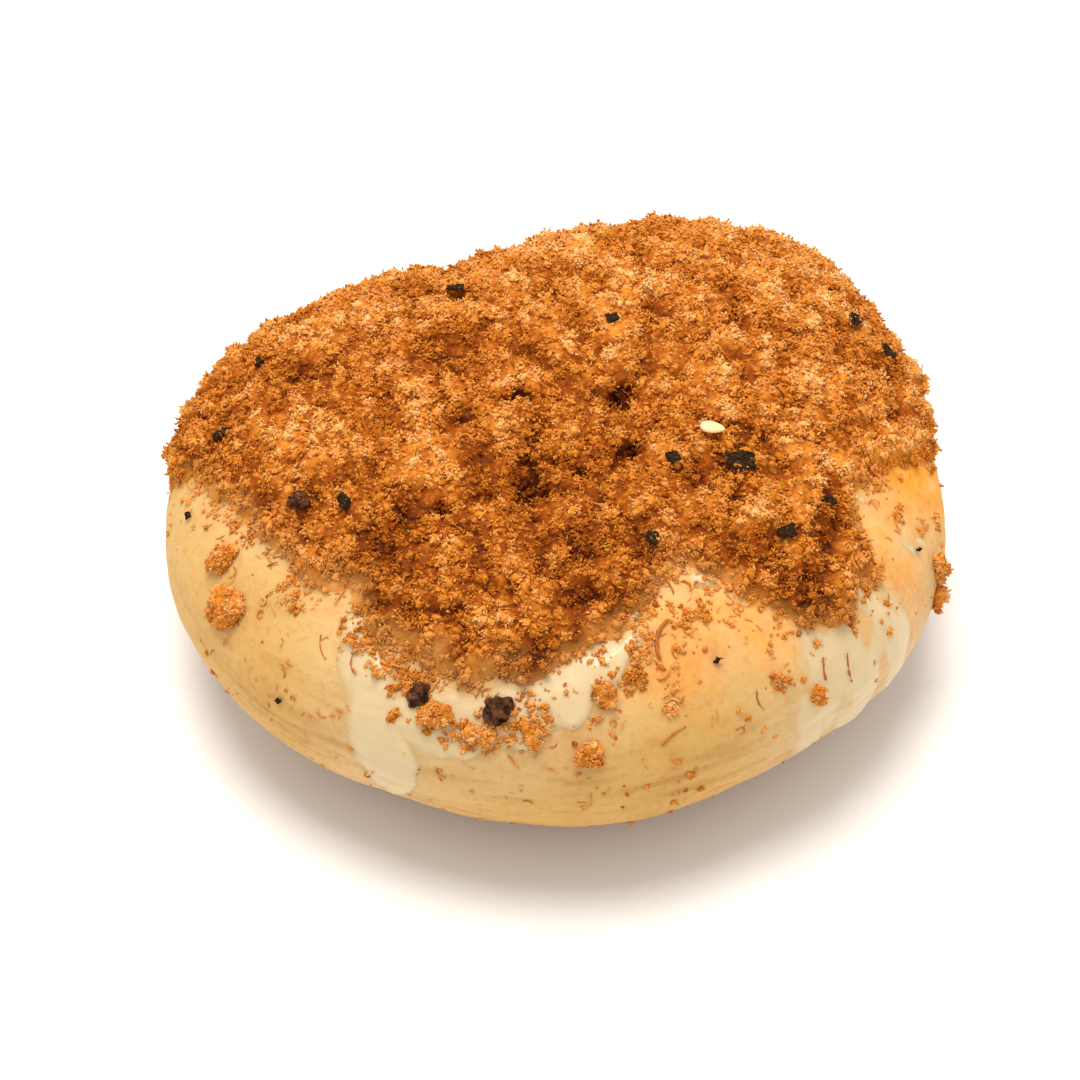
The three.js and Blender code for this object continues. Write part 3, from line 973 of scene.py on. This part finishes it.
def crumb(seed, fibres, reach, width):
    """A crumb of floss: an uneven core with bent fibres standing out of it. Gives points, faces, tips."""
    generator = np.random.default_rng(seed)
    work = bmesh.new()
    bmesh.ops.create_icosphere(work, subdivisions=1, radius=0.3)
    core = np.array([v.co for v in work.verts])
    faces = [tuple(v.index for v in face.verts) for face in work.faces]
    work.free()
    core = core * generator.uniform(0.6, 1.5, (len(core), 1)) * np.array([1.3, 1.0, 0.8])
    # The core and the fibres' roots are kept darker and the ends paler: painted shade inside the crumb,
    # painted light on its tips.
    points, tips = list(core), [0.3] * len(core)
    for _ in range(fibres):
        spin, rise = generator.uniform(0, 2 * math.pi), generator.uniform(-0.15, 1.0)
        flat = math.sqrt(max(0, 1 - rise * rise))
        heading = np.array([flat * math.cos(spin), flat * math.sin(spin), rise])
        start = heading * generator.uniform(0.05, 0.25)
        corners, sides = fibre(start, heading, reach * generator.uniform(0.5, 1.1), width)
        first = len(points)
        faces += [tuple(first + corner for corner in side) for side in sides]
        points += corners
        tips += [0.3, 0.8, 0.8, 0.8, 1.0]
    return points, faces, tips


def thread(seed, reach, width):
    """A single long bent fibre that lies flat. Gives points, faces, tips."""
    generator = np.random.default_rng(seed)
    spin, bend = generator.uniform(0, 2 * math.pi), generator.uniform(-1.1, 1.1)
    point, line = np.array([0, 0, 0.5 * width]), []
    rings = 4
    for _ in range(rings + 2):
        line.append(point)
        heading = np.array([math.cos(spin), math.sin(spin), generator.uniform(-0.1, 0.2)])
        point = point + heading * reach / (rings + 1)
        spin += bend + generator.uniform(-0.3, 0.3)
    points, faces = [line[0]], [(0, 2, 1), (0, 3, 2), (0, 1, 3)]
    for ring in range(1, rings + 1):
        along = line[ring + 1] - line[ring - 1]
        side = np.cross(along, (0, 0, 1.0))
        side = side / np.linalg.norm(side)
        third = np.cross(along, side) / np.linalg.norm(along)
        for turn in THIRDS:
            across = side * math.cos(turn) + third * math.sin(turn)
            points.append(line[ring] + across * width / 2)
        if ring > 1:
            first = 3 * ring - 5
            for corner in range(3):
                after = (corner + 1) % 3
                faces.append((first + corner, first + after, first + 3 + after, first + 3 + corner))
    last = 3 * rings + 1
    points.append(line[-1])
    faces += [(last - 3, last - 2, last), (last - 2, last - 1, last), (last - 1, last - 3, last)]
    return points, faces, np.linspace(0.2, 0.7, len(points))


def templates(name, count, build):
    """A collection of shapes to scatter, made once, each from what build(index) gives."""
    group = bpy.data.collections.get(f"{name}s")
    if group is None:
        group = bpy.data.collections.new(f"{name}s")
        bpy.context.scene.collection.children.link(group)
        for index in range(count):
            points, faces, tips = build(index)
            shape = add_mesh(f"{name}_{index}", np.array(points), faces, tip=tips)
            bpy.context.scene.collection.objects.unlink(shape)
            group.objects.link(shape)
    return group


def crumb_shapes(settings):
    """Ten different crumbs to scatter."""
    reach, width = settings.fibre_length / MM, settings.fibre_width / MM
    return templates("crumb", 10, lambda index: crumb(40 + index, CRUMB_FIBRES, reach, width))


def thread_shapes(settings):
    """Eight different single fibres to scatter."""
    width = settings.fibre_width / MM
    return templates("thread", 8, lambda index: thread(70 + index, THREAD_REACH, width))


def drop_templates():
    """Takes away the shapes that were scattered, which aren't pieces of the bagel."""
    for name in ("crumbs", "threads"):
        group = bpy.data.collections[name]
        for shape in list(group.objects):
            bpy.data.objects.remove(shape)
        bpy.data.collections.remove(group)


def scatter_tree():
    """Geometry nodes that stand copies of a collection's meshes on a surface, as its cover number says."""
    tree = bpy.data.node_groups.new("Scatter on Surface", "GeometryNodeTree")
    inputs = {
        "Surface": "Geometry", "Shapes": "Collection", "Density": "Float", "Cover": "String", "Seed": "Int",
        "Lean": "Float", "Smallest": "Float", "Largest": "Float", "Keep Surface": "Bool",
        "Finish": "Material",
    }
    for name, kind in inputs.items():
        tree.interface.new_socket(name, in_out="INPUT", socket_type=f"NodeSocket{kind}")
    tree.interface.new_socket("Scattered", in_out="OUTPUT", socket_type="NodeSocketGeometry")
    graph = Graph(tree)
    entrance = tree.nodes.new("NodeGroupInput")
    given = {socket.name: Wire(graph, socket) for socket in entrance.outputs}

    def chance(kind, low, high, seed_step):
        """A random vector, number or whole number for each point."""
        ending = {"FLOAT_VECTOR": "", "FLOAT": "_001", "INT": "_002"}[kind]
        return graph.node(
            "FunctionNodeRandomValue",
            {"data_type": kind},
            {f"Min{ending}": low, f"Max{ending}": high, "Seed": given["Seed"] + seed_step},
            f"Value{ending}",
        )

    cover = graph.node(
        "GeometryNodeInputNamedAttribute", {"data_type": "FLOAT"}, {"Name": given["Cover"]}, "Attribute"
    )
    spread = tree.nodes.new("GeometryNodeDistributePointsOnFaces")
    tree.links.new(given["Surface"].socket, spread.inputs["Mesh"])
    tree.links.new((given["Density"] * cover).socket, spread.inputs["Density"])
    tree.links.new(given["Seed"].socket, spread.inputs["Seed"])
    shapes = graph.node(
        "GeometryNodeCollectionInfo",
        values={"Collection": given["Shapes"], "Separate Children": True, "Reset Children": True},
    )
    lean = graph.node("ShaderNodeCombineXYZ", values={0: given["Lean"], 1: given["Lean"], 2: math.pi})
    back = graph.node("ShaderNodeVectorMath", {"operation": "SCALE"}, {0: lean, "Scale": -1.0})
    turn = graph.node("FunctionNodeEulerToRotation", values={0: chance("FLOAT_VECTOR", back, lean, 1)})
    rotation = graph.node(
        "FunctionNodeRotateRotation",
        {"rotation_space": "LOCAL"},
        {"Rotation": Wire(graph, spread.outputs["Rotation"]), "Rotate By": turn},
    )
    mostly_small = chance("FLOAT", 0.0, 1.0, 3) ** 2.2
    size = given["Smallest"] + (given["Largest"] - given["Smallest"]) * mostly_small
    placed = graph.node(
        "GeometryNodeInstanceOnPoints",
        values={
            "Points": Wire(graph, spread.outputs["Points"]),
            "Instance": shapes,
            "Pick Instance": True,
            "Instance Index": chance("INT", 0, 99, 2),
            "Rotation": rotation,
            "Scale": size,
        },
    )
    shaded = graph.node(
        "GeometryNodeStoreNamedAttribute",
        {"data_type": "FLOAT", "domain": "INSTANCE"},
        {"Geometry": placed, "Name": "shade", "Value": chance("FLOAT", 0.0, 1.0, 4)},
    )
    real = graph.node("GeometryNodeRealizeInstances", values={0: shaded})
    surface = graph.node(
        "GeometryNodeSwitch",
        {"input_type": "GEOMETRY"},
        {"Switch": given["Keep Surface"], "True": given["Surface"]},
    )
    both = graph.node("GeometryNodeJoinGeometry", values={0: [real, surface]})
    finished = graph.node("GeometryNodeSetMaterial", values={"Geometry": both, "Material": given["Finish"]})
    graph.node("NodeGroupOutput", values={0: finished})
    return tree


def scatter(name, surface, shapes, finish, count, seed, sizes, cover="cover", lean=0.5, keep_surface=False):
    """A plain mesh of about count shapes, scattered over a surface, from the smaller size to the larger."""
    tree = scatter_nodes()
    piece = bpy.data.objects.new(name, surface.data)
    bpy.context.scene.collection.objects.link(piece)
    modifier = piece.modifiers.new("scatter", "NODES")
    modifier.node_group = tree
    wanted = {
        "Shapes": shapes, "Density": count / covered_area(surface, cover), "Cover": cover, "Seed": seed,
        "Lean": lean, "Smallest": sizes[0], "Largest": sizes[1], "Keep Surface": keep_surface,
        "Finish": finish,
    }
    for socket in tree.interface.items_tree:
        if socket.in_out == "INPUT" and socket.name in wanted:
            modifier[socket.identifier] = wanted[socket.name]
    work_in_modifiers(piece)
    return piece


def covered_area(surface, cover):
    """Square metres of a surface, counting each face by the mean of its cover number."""
    mesh = surface.data
    areas = np.empty(len(mesh.polygons))
    mesh.polygons.foreach_get("area", areas)
    values = np.empty(len(mesh.vertices), np.float32)
    mesh.attributes[cover].data.foreach_get("value", values)
    starts = np.empty(len(mesh.polygons), np.int64)
    sizes = np.empty(len(mesh.polygons), np.int64)
    corners = np.empty(len(mesh.loops), np.int64)
    mesh.polygons.foreach_get("loop_start", starts)
    mesh.polygons.foreach_get("loop_total", sizes)
    mesh.loops.foreach_get("vertex_index", corners)
    means = np.add.reduceat(values[corners], starts) / sizes
    return float((areas * means).sum())


def scatter_nodes():
    """The scattering tree, made once."""
    return bpy.data.node_groups.get("Scatter on Surface") or scatter_tree()


def heap_crumbs(settings):
    """Covers the matted floss with loose crumbs, in several pieces so that none is too heavy."""
    bed = bpy.data.objects["floss_bed"]
    finish = bed.data.materials[0]
    for index in range(settings.pieces):
        name, seed = f"loose_floss_{index + 1}", 10 * index
        crumbs = scatter(name, bed, crumb_shapes(settings), finish, settings.crumbs, seed, (0.55, 2.3))
        settle(crumbs, "floss", finish)


def dust_crust(settings):
    """Small crumbs and single fibres on the crust, the cream and the floss."""
    bread, cream, bed = (bpy.data.objects[name] for name in ("bread", "cream", "floss_bed"))
    finish = bed.data.materials[0]
    on_cream = covered_area(cream, "dust")
    share = on_cream / (on_cream + covered_area(bread, "dust"))
    crumbs, threads = crumb_shapes(settings), thread_shapes(settings)
    # Each layer: its name, what it lies on, shapes, count, sizes, cover, lean and how pale it is
    layers = (
        ("dust_on_crust", bread, crumbs, settings.dust * (1 - share), (0.35, 1.6), "dust", 0.5, 0.62),
        ("dust_on_cream", cream, crumbs, settings.dust * share, (0.35, 1.6), "dust", 0.5, 0.62),
        ("threads_on_crust", bread, threads, settings.threads, (0.4, 1.4), "threads", 0.1, 0.6),
        ("threads_on_floss", bed, threads, settings.threads * 0.6, (0.7, 1.7), "cover", 0.5, 0.3),
    )
    for step, (name, surface, shapes, count, sizes, cover, lean, high) in enumerate(layers):
        layer = scatter(name, surface, shapes, finish, count, 201 + 10 * step, sizes, cover, lean)
        keep_numbers(layer, high=high, thin=0.0)
        settle(layer, "floss", finish)


# ---- small pieces ----

CRUMBS_PER_AREA = 3.2  # on a clump, to the square millimetre
STRAND_THINNING = 0.14
CURL = 0.55  # of a nori flake
TEAR = 0.42  # at a nori flake's edges


def ground():
    """Finds the nearest point of the bread, the cream and the floss."""
    points, faces = [], []
    for name in ("bread", "cream", "floss_bed"):
        mesh = bpy.data.objects[name].data
        first = len(points)
        points += [vertex.co.copy() for vertex in mesh.vertices]
        faces += [[first + corner for corner in face.vertices] for face in mesh.polygons]
    return BVHTree.FromPolygons(points, faces)


def sink_onto(piece, tree, depth_mm):
    """Moves a piece until its lowest point lies depth_mm under the surface below it."""
    points = points_of(piece)
    middle = Vector(points.mean(0)) * MM
    nearest, _, _, _ = tree.find_nearest(middle)
    up = (middle - nearest).normalized()
    heights = []
    for point in points:
        place = Vector(point) * MM
        on_ground, _, _, _ = tree.find_nearest(place)
        heights.append((place - on_ground).dot(up) / MM)
    move_points(piece, points - np.array(up) * (min(heights) + depth_mm))


def roughen(piece, size, depth, seed):
    """Moves a piece's points in and out by smooth noise, in millimetres."""
    points = points_of(piece)
    away = swell(points, size, seed=seed, octaves=2)[:, None]
    move_points(piece, points + vectors_of(piece, "normal") * away * depth)


def pieces_named(start):
    """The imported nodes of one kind."""
    return sorted(name for name in frame["nodes"] if name.startswith(start))


def heap_clumps(tree, settings):
    """The clumps that fell onto the crust and the cream, bristling with crumbs."""
    finish = bpy.data.objects["floss_bed"].data.materials[0]
    for seed, node in enumerate(pieces_named("clump_")):
        core = worked_copy(node, f"{node}_core", levels=2)
        roughen(core, size=3.2, depth=0.6, seed=60 + seed)
        roughen(core, size=1.3, depth=0.4, seed=50 + seed)
        sink_onto(core, tree, depth_mm=0.5)
        keep_numbers(core, cover=1.0, high=0.7, shade=0.5)
        count = max(20, round(covered_area(core, "cover") / MM**2 * CRUMBS_PER_AREA))
        clump = scatter(
            f"{node}_crumbly", core, crumb_shapes(settings), finish, count, 300 + seed, (0.4, 1.6),
            keep_surface=True,
        )
        core_mesh = core.data
        bpy.data.objects.remove(core)
        bpy.data.meshes.remove(core_mesh)
        settle(clump, "floss", finish, node)


def strand_finish(settings):
    """Toasted single fibres, which shine a little."""
    def build(graph):
        cloudy = graph.clouds(0.9)
        shade = graph.mix(cloudy * 0.6, tuple(settings.brown), tuple(settings.orange))
        return {
            "Base Color": shade,
            "Roughness": 0.45 + cloudy * 0.2,
            "Normal": graph.bump(cloudy, depth_mm=0.1),
        }

    return new_finish("strand", build, specular_ior_level=0.2)


def drop_strands(tree, settings):
    """The curved fibres that lie apart, made thinner and uneven."""
    finish = strand_finish(settings)
    for seed, node in enumerate(pieces_named("floss_strand_")):
        strand = worked_copy(node, f"{node}_bent", levels=2)
        move_points(strand, points_of(strand) - vectors_of(strand, "normal") * STRAND_THINNING)
        roughen(strand, size=0.9, depth=0.14, seed=80 + seed)
        sink_onto(strand, tree, depth_mm=0.08)
        settle(strand, "floss", finish, node)


def crisp_finish(settings):
    """Dark fried crust with paler sides."""
    def build(graph):
        cloudy, fine = graph.clouds(1.3, detail=3), graph.clouds(0.3)
        shade = graph.mix(graph.step(0.35, 0.75, cloudy), tuple(settings.crisp), tuple(settings.crisp_edge))
        return {
            "Base Color": shade,
            "Roughness": 0.42 + fine * 0.3,
            "Normal": graph.bump(fine, depth_mm=0.1),
        }

    return new_finish("crisp", build, specular_ior_level=0.15)


def drop_crisps(tree, settings):
    """The craggy fried chunks, sunk a little into what they lie on."""
    finish = crisp_finish(settings)
    for seed, node in enumerate(pieces_named("crisp_chunk_")):
        chunk = worked_copy(node, f"{node}_craggy", levels=4, smooth=False)
        roughen(chunk, size=1.5, depth=0.7, seed=90 + seed)
        roughen(chunk, size=0.5, depth=0.22, seed=95 + seed)
        sink_onto(chunk, tree, depth_mm=0.6)
        settle(chunk, "crisp", finish, node)


def nori_finish(settings):
    """Dull dark seaweed, browner where it is thin."""
    def build(graph):
        fine = graph.clouds(0.35, detail=3)
        shade = graph.mix(graph.step(0.45, 0.75, fine), tuple(settings.nori), tuple(settings.nori_edge))
        return {
            "Base Color": shade,
            "Roughness": 0.7 + fine * 0.2,
            "Normal": graph.bump(fine, depth_mm=0.08),
        }

    return new_finish("nori", build, specular_ior_level=0.1)


def drop_nori(tree, settings):
    """Torn curled flakes in the floss, and crumbs of nori on the crust."""
    finish = nori_finish(settings)
    for seed, node in enumerate(pieces_named("nori_")):
        flake = worked_copy(node, f"{node}_torn", levels=4, smooth=False)
        points = points_of(flake)
        out = points.mean(0) / np.linalg.norm(points.mean(0))
        curled = CURL * swell(points, 1.8, seed=100 + seed)[:, None] * out
        ways = [swell(points, 0.9, seed=120 + seed + axis, octaves=2) for axis in range(3)]
        torn = np.stack(ways, -1) * TEAR
        move_points(flake, points + curled + torn)
        sink_onto(flake, tree, depth_mm=0.0 if node.startswith("nori_speck") else 0.1)
        settle(flake, "nori", finish, node)


def sesame_finish(settings):
    """A pale seed that lets a little light in."""
    def build(graph):
        fine = graph.clouds(0.5)
        shade = graph.mix(fine * 0.5, tuple(settings.sesame), tuple(settings.sesame_shadow))
        return {"Base Color": shade, "Roughness": 0.35 + fine * 0.15}

    return new_finish(
        "sesame", build, subsurface_weight=0.3, subsurface_radius=(1.0, 0.8, 0.5), subsurface_scale=0.0008,
    )


def drop_sesame(tree, settings):
    """The seed, held up by the crumbs round it."""
    seed = worked_copy("sesame_seed", "sesame", levels=2)
    sink_onto(seed, tree, depth_mm=-0.5)
    settle(seed, "sesame", sesame_finish(settings), "sesame_seed")


# ---- stage ----

# In metres
FLOOR_HALF = 4.0
FLOOR_DROP = 0.0002
KEY_SIZE = 0.45
KEY_PLACE = (-0.05, 0.1, 0.68)  # from the bagel's middle, above it and a little behind

# In millimetres, and the shift in sensor widths
SENSOR = 36
LENS = 84
LENS_SHIFT = (-0.0265, -0.033)


def set_stage(settings):
    """A pale floor, an even sky, one large soft light and the camera."""
    scene = bpy.context.scene
    scene.view_settings.view_transform = "Standard"
    corners = [(x * FLOOR_HALF, y * FLOOR_HALF, 0) for x, y in ((-1, -1), (1, -1), (1, 1), (-1, 1))]
    mesh = bpy.data.meshes.new("floor")
    mesh.from_pydata(corners, [], [(0, 1, 2, 3)])
    floor = bpy.data.objects.new("floor", mesh)
    floor.location.z = -FLOOR_DROP
    scene.collection.objects.link(floor)
    finish = new_finish("floor", lambda graph: {}, base_color=tuple(settings.floor), roughness=0.9)
    mesh.materials.append(finish)

    world = bpy.data.worlds.new("sky")
    world.use_nodes = True
    graph = Graph(world.node_tree)
    sky = graph.node("ShaderNodeBackground", values={"Color": (1, 0.99, 0.97, 1), "Strength": settings.sky})
    graph.node("ShaderNodeOutputWorld", values={"Surface": sky})
    scene.world = world

    middle = Vector((SHIFT[0], SHIFT[1], BREAD_HEIGHT / 2)) * MM
    key_data = bpy.data.lights.new("key", "AREA")
    key_data.shape = "DISK"
    key_data.size = KEY_SIZE
    key_data.energy = settings.key_power
    key_data.color = (1, 0.97, 0.93)
    key = bpy.data.objects.new("key", key_data)
    key.location = middle + Vector(KEY_PLACE)
    key.rotation_euler = (middle - key.location).to_track_quat("-Z", "Y").to_euler()
    scene.collection.objects.link(key)

    camera_data = bpy.data.cameras.new("camera")
    camera_data.sensor_width = SENSOR
    camera_data.lens = LENS
    camera_data.shift_x, camera_data.shift_y = LENS_SHIFT
    camera = bpy.data.objects.new("camera", camera_data)
    back = Vector((0, -math.cos(settings.elevation), math.sin(settings.elevation)))
    camera.location = middle + back * settings.distance
    camera.rotation_euler = (POLE - settings.elevation, 0, 0)
    scene.collection.objects.link(camera)
    scene.camera = camera


# ---- operators ----


class BAGEL_OT_bake_crust(bpy.types.Operator):
    """Bakes the bread with its slit, dents and stretch lines"""

    bl_idname = "bagel.bake_crust"
    bl_label = "Bake Crust"

    def execute(self, context):
        bake_crust()
        return {"FINISHED"}


class BAGEL_OT_spread_cream(bpy.types.Operator):
    """Spreads the cream over the crust"""

    bl_idname = "bagel.spread_cream"
    bl_label = "Spread Cream"

    def execute(self, context):
        spread_cream(context.scene.bagel_cream)
        return {"FINISHED"}


class BAGEL_OT_lay_floss(bpy.types.Operator):
    """Lays the matted floss and heaps its loose crumbs on it"""

    bl_idname = "bagel.lay_floss"
    bl_label = "Lay Floss"

    def execute(self, context):
        lay_floss_bed(context.scene.bagel_floss)
        heap_crumbs(context.scene.bagel_floss)
        return {"FINISHED"}


class BAGEL_OT_dust_crust(bpy.types.Operator):
    """Dusts the crust beside the floss with crumbs and single fibres"""

    bl_idname = "bagel.dust_crust"
    bl_label = "Dust Crust"

    def execute(self, context):
        dust_crust(context.scene.bagel_floss)
        return {"FINISHED"}


class BAGEL_OT_drop_clumps(bpy.types.Operator):
    """Drops the clumps and strands of floss onto the crust and cream"""

    bl_idname = "bagel.drop_clumps"
    bl_label = "Drop Clumps"

    def execute(self, context):
        tree = ground()
        heap_clumps(tree, context.scene.bagel_floss)
        drop_strands(tree, context.scene.bagel_floss)
        return {"FINISHED"}


class BAGEL_OT_drop_bits(bpy.types.Operator):
    """Drops the crisp chunks, the nori and the sesame seed onto the floss"""

    bl_idname = "bagel.drop_bits"
    bl_label = "Drop Bits"

    def execute(self, context):
        tree, settings = ground(), context.scene.bagel_bits
        drop_crisps(tree, settings)
        drop_nori(tree, settings)
        drop_sesame(tree, settings)
        return {"FINISHED"}


class BAGEL_OT_set_stage(bpy.types.Operator):
    """Sets the floor, the lights and the camera"""

    bl_idname = "bagel.set_stage"
    bl_label = "Set Stage"

    def execute(self, context):
        set_stage(context.scene.bagel_stage)
        return {"FINISHED"}


class BAGEL_PT_panel(bpy.types.Panel):
    """Lists what makes the bagel"""

    bl_label = "Floss Bagel"
    bl_idname = "BAGEL_PT_panel"
    bl_space_type = "VIEW_3D"
    bl_region_type = "UI"
    bl_category = "Bagel"

    def draw(self, context):
        for operator, group in STEPS:
            box = self.layout.box()
            box.operator(operator.bl_idname)
            settings = getattr(context.scene, group)
            for key in settings.__annotations__:
                box.prop(settings, key)


SETTINGS = {
    "bagel_crust": CrustSettings,
    "bagel_cream": CreamSettings,
    "bagel_floss": FlossSettings,
    "bagel_bits": BitSettings,
    "bagel_stage": StageSettings,
}
STEPS = (
    (BAGEL_OT_bake_crust, "bagel_crust"),
    (BAGEL_OT_spread_cream, "bagel_cream"),
    (BAGEL_OT_lay_floss, "bagel_floss"),
    (BAGEL_OT_dust_crust, "bagel_floss"),
    (BAGEL_OT_drop_clumps, "bagel_floss"),
    (BAGEL_OT_drop_bits, "bagel_bits"),
    (BAGEL_OT_set_stage, "bagel_stage"),
)


def register():
    """Adds the settings, the operators and the panel."""
    for group in SETTINGS.values():
        bpy.utils.register_class(group)
    for name, group in SETTINGS.items():
        setattr(bpy.types.Scene, name, bpy.props.PointerProperty(type=group))
    for operator, _ in STEPS:
        bpy.utils.register_class(operator)
    bpy.utils.register_class(BAGEL_PT_panel)


def unregister():
    """Takes away what register added, last first."""
    bpy.utils.unregister_class(BAGEL_PT_panel)
    for operator, _ in reversed(STEPS):
        bpy.utils.unregister_class(operator)
    for name, group in SETTINGS.items():
        delattr(bpy.types.Scene, name)
        bpy.utils.unregister_class(group)


def main():
    """Makes the bagel, one operator after another."""
    register()
    for operator, _ in STEPS:
        family, name = operator.bl_idname.split(".")
        getattr(getattr(bpy.ops, family), name)()
    drop_templates()


if __name__ == "__main__":
    main()
